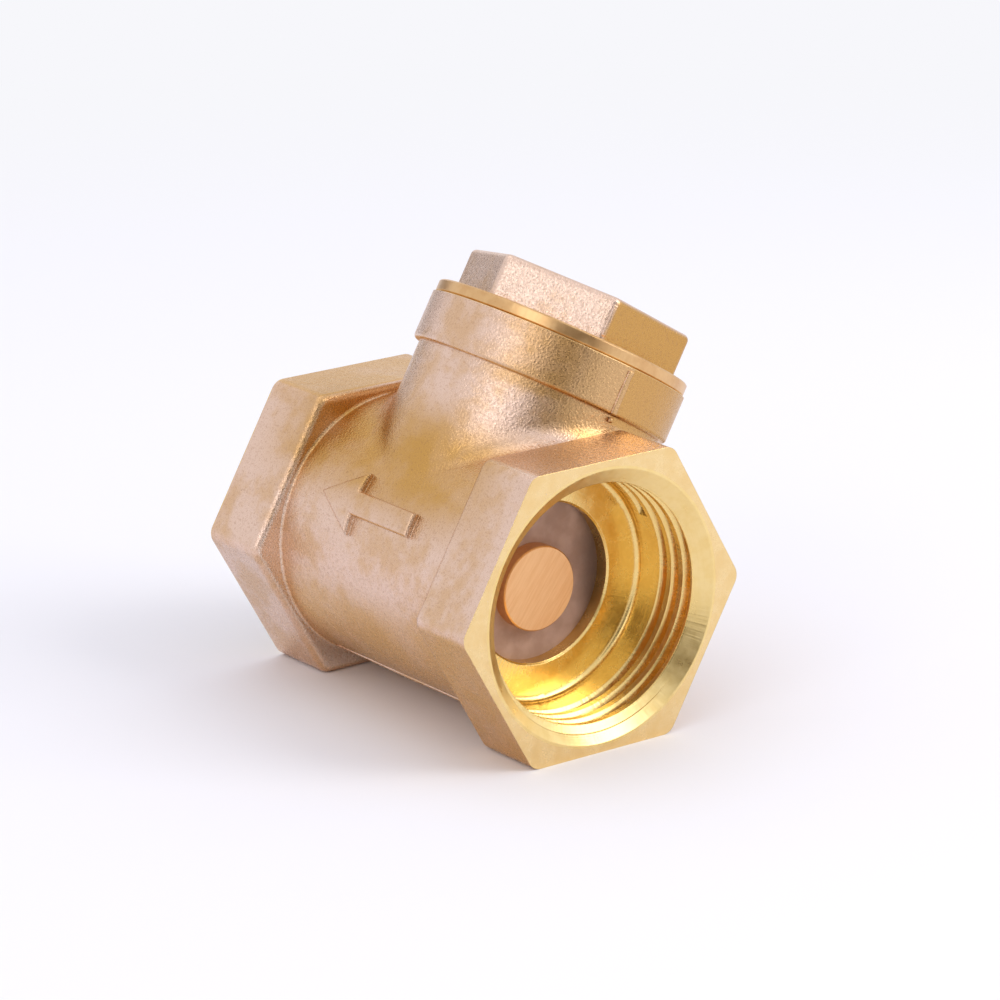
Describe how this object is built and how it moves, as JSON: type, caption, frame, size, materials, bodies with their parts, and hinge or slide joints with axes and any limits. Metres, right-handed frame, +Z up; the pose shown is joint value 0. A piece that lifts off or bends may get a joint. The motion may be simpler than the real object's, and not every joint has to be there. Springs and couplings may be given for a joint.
{
  "type": "swing check valve",
  "caption": "T-shaped swing check valve in cast brass with hexagon ends, female pipe threads, a screwed hexagon bonnet cap and a rubber-faced swinging disc.",
  "frame": {"origin": "centre of the inlet mouth, on the flow axis, in the plane of the machined inlet face", "axes": "+X out of the inlet against the flow; +Z up with the valve lying on a flat of its two hexagons; the neck leans 30 degrees from +Z towards +Y"},
  "size_m": [0.055, 0.0529, 0.0581],
  "materials": {
    "cast_brass": "sand cast and blasted, machined at the faces and threads",
    "machined_brass": "machined",
    "button_bronze": "satin, fine turned lines",
    "nitrile_rubber": "matte grey-brown",
    "gasket": "matte PTFE",
    "stainless_steel": "ground"
  },
  "bodies": {
    "body": {"valve_body": "cast_brass", "hinge_pin": "stainless_steel"},
    "gasket": {"cap_gasket": "gasket"},
    "cap": {"bonnet_cap": "cast_brass"},
    "arm": {"hinge_arm": "machined_brass"},
    "disc": {"retaining_button": "button_bronze", "rubber_washer": "nitrile_rubber", "disc_plate": "machined_brass", "flat_washer": "stainless_steel", "spring_washer": "stainless_steel", "disc_nut": "machined_brass"}
  },
  "joints": [
    {"name": "disc_swing", "type": "hinge", "parent": "body", "child": "arm", "pos_m": [-0.0179, 0.0075, 0.01299], "axis": [0, 0.866, -0.5], "range_deg": [0, 66]},
    {"name": "disc_swivel", "type": "hinge", "parent": "arm", "child": "disc", "pos_m": [-0.02065, -0.0004, -0.00069], "axis": [1, 0, 0], "continuous": true},
    {"name": "cap_lift", "type": "slide", "parent": "body", "child": "gasket", "axis": [0, 0.5, 0.866], "range_m": [0, 0.009]},
    {"name": "cap_turn", "type": "hinge", "parent": "gasket", "child": "cap", "pos_m": [-0.0278, 0.015, 0.02598], "axis": [0, 0.5, 0.866], "range_deg": [0, 2160]}
  ],
  "couplings": [
    {"joint": "cap_lift", "follows": "cap_turn", "m_per_rad": 0.00023873}
  ]
}
